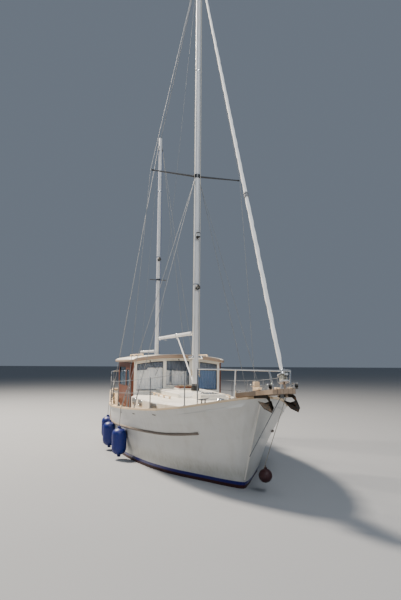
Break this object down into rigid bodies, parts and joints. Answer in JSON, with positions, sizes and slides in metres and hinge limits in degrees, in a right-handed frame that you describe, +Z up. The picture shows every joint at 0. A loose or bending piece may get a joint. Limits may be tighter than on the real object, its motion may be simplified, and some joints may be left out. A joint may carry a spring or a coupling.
{
  "type": "sailing yacht",
  "caption": "Ketch-rigged motorsailer with a flared white hull, long keel, hardtop wheelhouse, furled headsail, booms, hatches, wheel steering and propeller.",
  "frame": {"origin": "on the waterline, amidships on the centreline", "axes": "+X forward to the bow, +Y to port, +Z up"},
  "size_m": [11.415, 3.4953, 13.34],
  "materials": {
    "white_hull": "satin paint",
    "antifouling": "matt",
    "teak": "oiled",
    "varnished_wood": "varnished",
    "strake_wood": "weathered",
    "stainless": "polished",
    "galvanised": "dull",
    "bronze": "dull",
    "spar": "painted",
    "sailcloth": "woven",
    "window": "clear",
    "cushion": "woven",
    "fender": "smooth",
    "ball": "smooth"
  },
  "bodies": {
    "boat": {"hull": "white_hull", "coachroof": "white_hull", "aft_trunk": "white_hull", "house_front": "white_hull", "house_roof": "white_hull", "keel": "antifouling", "caprail": "teak", "anchor_platform": "teak", "house_side_port": "varnished_wood", "house_side_starboard": "varnished_wood", "helm_console": "varnished_wood", "rub_strake_port": "strake_wood", "rub_strake_starboard": "strake_wood", "bobstay": "stainless", "bow_pulpit": "stainless", "stern_rail": "stainless", "lifelines_port": "stainless", "lifelines_starboard": "stainless", "triatic_stay": "stainless", "masthead": "stainless", "main_gooseneck": "stainless", "mizzen_gooseneck": "stainless", "cap_shroud_port": "stainless", "cap_shroud_starboard": "stainless", "lower_shrouds_port": "stainless", "lower_shrouds_starboard": "stainless", "mizzen_shrouds_port": "stainless", "mizzen_shrouds_starboard": "stainless", "anchor_starboard": "galvanised", "anchor_port": "galvanised", "windlass": "galvanised", "main_mast": "spar", "mizzen_mast": "spar", "main_spreaders": "spar", "mizzen_crosstree": "spar", "front_window_starboard": "window", "front_window_centre": "window", "front_window_port": "window", "side_window_port": "window", "side_window_starboard": "window", "helm_seat": "cushion", "settee": "cushion", "fender_1": "fender", "fender_2": "fender", "fender_3": "fender", "ball_fender": "ball"},
    "rudder": {"rudder": "antifouling"},
    "propeller": {"propeller": "bronze"},
    "steering_wheel": {"steering_wheel": "varnished_wood"},
    "main_boom": {"main_boom": "spar", "main_vang": "spar"},
    "mizzen_boom": {"mizzen_boom": "spar"},
    "furling_headsail": {"headsail": "sailcloth", "furler_drum": "galvanised"},
    "fore_hatch": {"fore_hatch_lid": "white_hull"},
    "skylight": {"skylight_lid": "varnished_wood"},
    "aft_hatch": {"aft_hatch_lid": "white_hull"},
    "port_door": {"side_door_port": "varnished_wood"},
    "starboard_door": {"side_door_starboard": "varnished_wood"}
  },
  "joints": [
    {"name": "rudder_turn", "type": "hinge", "parent": "boat", "child": "rudder", "pos_m": [-2.93, 0, -1], "axis": [0, 0, 1], "range_deg": [-35, 35]},
    {"name": "wheel_turn", "type": "hinge", "parent": "boat", "child": "steering_wheel", "pos_m": [-0.33, -0.48, 1.27], "axis": [1, 0, 0], "range_deg": [-540, 540]},
    {"name": "propeller_spin", "type": "hinge", "parent": "boat", "child": "propeller", "pos_m": [-2.45, 0, -0.77], "axis": [1, 0, 0], "continuous": true},
    {"name": "main_boom_swing", "type": "hinge", "parent": "boat", "child": "main_boom", "pos_m": [1.49, 0, 2.76], "axis": [0, 0, 1], "range_deg": [-60, 60]},
    {"name": "mizzen_boom_swing", "type": "hinge", "parent": "boat", "child": "mizzen_boom", "pos_m": [-2.53, 0, 2.42], "axis": [0, 0, 1], "range_deg": [-60, 60]},
    {"name": "headsail_furl", "type": "hinge", "parent": "boat", "child": "furling_headsail", "pos_m": [6.02, 0, 1.7], "axis": [-0.3924, 0, 0.9198], "continuous": true},
    {"name": "fore_hatch_lift", "type": "hinge", "parent": "boat", "child": "fore_hatch", "pos_m": [2.88, 0, 1.424], "axis": [0, 1, 0], "range_deg": [0, 85]},
    {"name": "skylight_lift", "type": "hinge", "parent": "boat", "child": "skylight", "pos_m": [1.1, 0, 1.497], "axis": [0, 1, 0], "range_deg": [0, 50]},
    {"name": "aft_hatch_lift", "type": "hinge", "parent": "boat", "child": "aft_hatch", "pos_m": [-2.86, 0, 1.412], "axis": [0, 1, 0], "range_deg": [0, 85]},
    {"name": "port_door_slide", "type": "slide", "parent": "boat", "child": "port_door", "axis": [-1, 0, 0], "range_m": [0, 0.64]},
    {"name": "starboard_door_slide", "type": "slide", "parent": "boat", "child": "starboard_door", "axis": [-1, 0, 0], "range_m": [0, 0.64]}
  ],
  "couplings": [
    {"joint": "wheel_turn", "follows": "rudder_turn", "ratio": 15.4}
  ]
}
